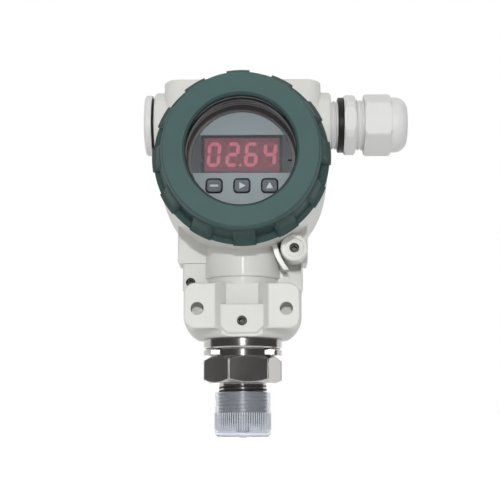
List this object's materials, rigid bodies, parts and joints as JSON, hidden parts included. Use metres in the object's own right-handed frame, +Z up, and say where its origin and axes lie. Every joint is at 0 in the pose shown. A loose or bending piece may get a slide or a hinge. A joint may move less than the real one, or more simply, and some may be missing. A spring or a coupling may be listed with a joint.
{
  "type": "pressure transmitter",
  "caption": "Head-mounted pressure transmitter: two-compartment cast housing, windowed indicator cover, cable gland, blanking plug and a hexagon process connection with male thread.",
  "frame": {"origin": "on the axis of the process connection, at the sealing shoulder where the hexagon meets the male thread", "axes": "+Z up along the neck, -Y to the front (window), +X to the cable gland"},
  "size_m": [0.1132, 0.0954, 0.1514],
  "materials": {
    "body_paint": "off-white powder coat on die-cast aluminium",
    "cover_paint": "dark teal-green fine-grained paint",
    "white_paint": "smooth white",
    "window_glass": "clear toughened glass",
    "rubber": "black nitrile",
    "black_anodised": "satin black",
    "case_plastic": "dark grey moulded",
    "plate": "pale blue-grey printed plate",
    "filter": "smoked acrylic",
    "led_module": "dark grey face",
    "key_plastic": "dark grey",
    "board": "green solder mask",
    "brass": "turned",
    "stainless": "turned stainless steel",
    "nylon": "white moulded nylon",
    "cap_plastic": "translucent soft polyethylene"
  },
  "bodies": {
    "root": {"housing": "body_paint", "display_case": "case_plastic", "display_plate": "plate", "display_filter": "filter", "led_digits": "led_module", "button_switches": "key_plastic", "display_board": "board", "board_spacers": "brass", "board_nuts": "stainless", "main_board": "board", "main_board_standoffs": "brass", "lead_connector": "case_plastic", "sensor_lead": "rubber", "terminal_block": "case_plastic", "terminal_clamps": "stainless", "terminal_screws": "stainless", "terminal_block_screws": "stainless", "gland_body": "nylon", "gland_washer": "rubber", "sensor_body": "stainless", "sensor_seal": "rubber", "sensor_capsule": "stainless", "sensor_header": "board", "neck_set_screw": "stainless", "cover_lock_screw": "stainless", "ground_screw": "stainless"},
    "front_seal": {"front_cover_seal": "rubber"},
    "front_cover": {"front_cover": "cover_paint", "window_glass": "window_glass", "window_gasket": "rubber", "glass_retaining_ring": "black_anodised"},
    "rear_seal": {"rear_cover_seal": "rubber"},
    "rear_cover": {"rear_cover": "cover_paint"},
    "plug_ring": {"plug_seal": "rubber"},
    "plug": {"blanking_plug": "white_paint"},
    "gland_insert": {"gland_seal": "rubber"},
    "gland_nut": {"gland_nut": "nylon"},
    "set_button": {"set_button": "key_plastic"},
    "shift_button": {"shift_button": "key_plastic"},
    "up_button": {"up_button": "key_plastic"},
    "thread_cap": {"thread_cap": "cap_plastic"}
  },
  "joints": [
    {"name": "front_cover_travel", "type": "slide", "parent": "root", "child": "front_seal", "axis": [0, -1, 0], "range_m": [0, 0.01202]},
    {"name": "front_cover_turn", "type": "hinge", "parent": "front_seal", "child": "front_cover", "pos_m": [0, -0.0464, 0.0911], "axis": [0, -1, 0], "range_deg": [0, 2880]},
    {"name": "rear_cover_travel", "type": "slide", "parent": "root", "child": "rear_seal", "axis": [0, 1, 0], "range_m": [0, 0.01202]},
    {"name": "rear_cover_turn", "type": "hinge", "parent": "rear_seal", "child": "rear_cover", "pos_m": [0, 0.049, 0.0911], "axis": [0, 1, 0], "range_deg": [0, 2880]},
    {"name": "plug_travel", "type": "slide", "parent": "root", "child": "plug_ring", "axis": [-1, 0, 0], "range_m": [0, 0.01052]},
    {"name": "plug_turn", "type": "hinge", "parent": "plug_ring", "child": "plug", "pos_m": [-0.042, 0, 0.1122], "axis": [-1, 0, 0], "range_deg": [0, 2520]},
    {"name": "gland_nut_travel", "type": "slide", "parent": "root", "child": "gland_insert", "axis": [1, 0, 0], "range_m": [0, 0.00452]},
    {"name": "gland_nut_turn", "type": "hinge", "parent": "gland_insert", "child": "gland_nut", "pos_m": [0.0707, 0, 0.1122], "axis": [1, 0, 0], "range_deg": [0, 1080]},
    {"name": "set_button_press", "type": "slide", "parent": "root", "child": "set_button", "axis": [0, 1, 0], "range_m": [0, 0.00035], "stiffness_N_per_m": 800},
    {"name": "shift_button_press", "type": "slide", "parent": "root", "child": "shift_button", "axis": [0, 1, 0], "range_m": [0, 0.00035], "stiffness_N_per_m": 800},
    {"name": "up_button_press", "type": "slide", "parent": "root", "child": "up_button", "axis": [0, 1, 0], "range_m": [0, 0.00035], "stiffness_N_per_m": 800},
    {"name": "thread_cap_pull", "type": "slide", "parent": "root", "child": "thread_cap", "axis": [0, 0, -1], "range_m": [0, 0.03]}
  ],
  "couplings": [
    {"joint": "front_cover_travel", "follows": "front_cover_turn", "m_per_rad": 0.00023873},
    {"joint": "rear_cover_travel", "follows": "rear_cover_turn", "m_per_rad": 0.00023873},
    {"joint": "plug_travel", "follows": "plug_turn", "m_per_rad": 0.00023873},
    {"joint": "gland_nut_travel", "follows": "gland_nut_turn", "m_per_rad": 0.00023873}
  ]
}
